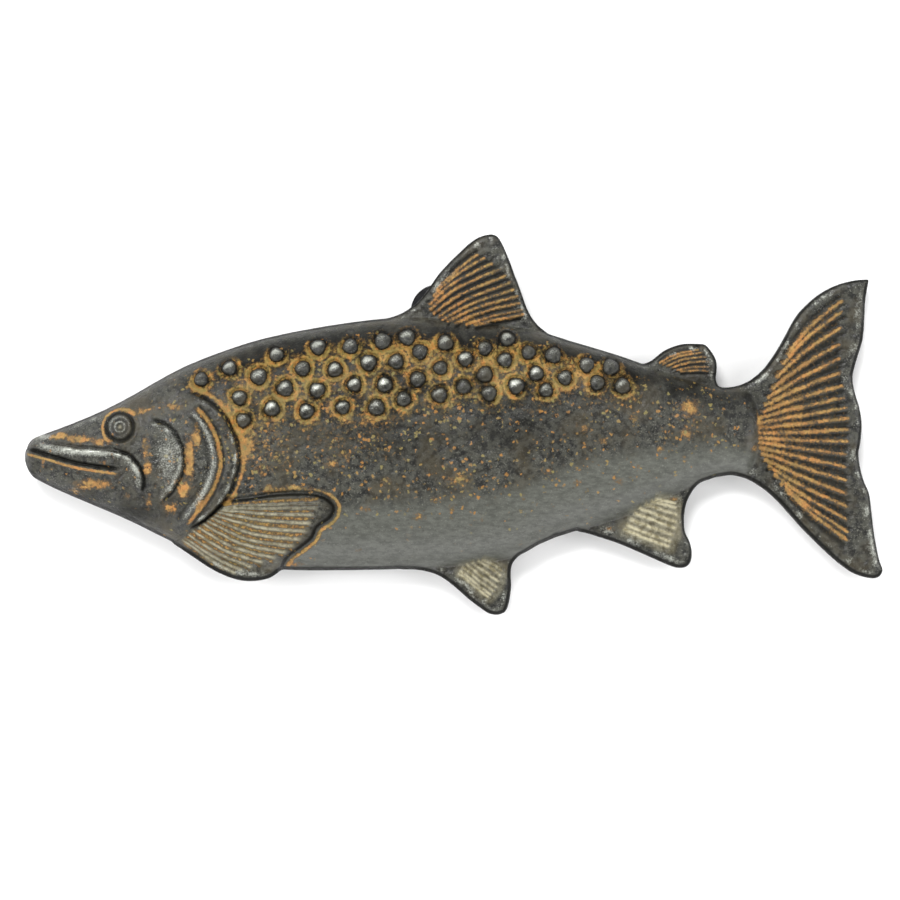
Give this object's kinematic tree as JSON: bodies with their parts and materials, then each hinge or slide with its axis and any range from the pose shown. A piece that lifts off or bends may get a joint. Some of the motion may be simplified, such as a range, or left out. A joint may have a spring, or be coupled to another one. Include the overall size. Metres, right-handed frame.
{
  "type": "souvenir bottle opener",
  "caption": "Cast-iron trout relief with a flat back, a screwed-on stamped steel cap lifter and pot magnets that hold it on a steel door.",
  "frame": {"origin": "middle of the opener's length and breadth, on the plane that the cap lifter and the magnets rest on", "axes": "+X from the nose to the tail, +Y towards the back of the fish (the dorsal fin), +Z out of the relief"},
  "size_m": [0.1605, 0.0712, 0.0142],
  "materials": {
    "antiqued_iron": "dark sealed cast iron, rust-brown antiquing in the recesses and worn grey on the high spots",
    "lifter_steel": "blackened stamped steel, worn bright on its edges",
    "screw_steel": "blackened steel",
    "cup_steel": "zinc-plated drawn steel",
    "magnet_plating": "nickel-plated magnet, satin"
  },
  "bodies": {
    "root": {"fish_casting": "antiqued_iron", "cap_lifter": "lifter_steel", "lifter_screws": "screw_steel", "head_magnet_cup": "cup_steel", "head_magnet": "magnet_plating", "tail_magnet_cup": "cup_steel", "tail_magnet": "magnet_plating"}
  },
  "joints": []
}
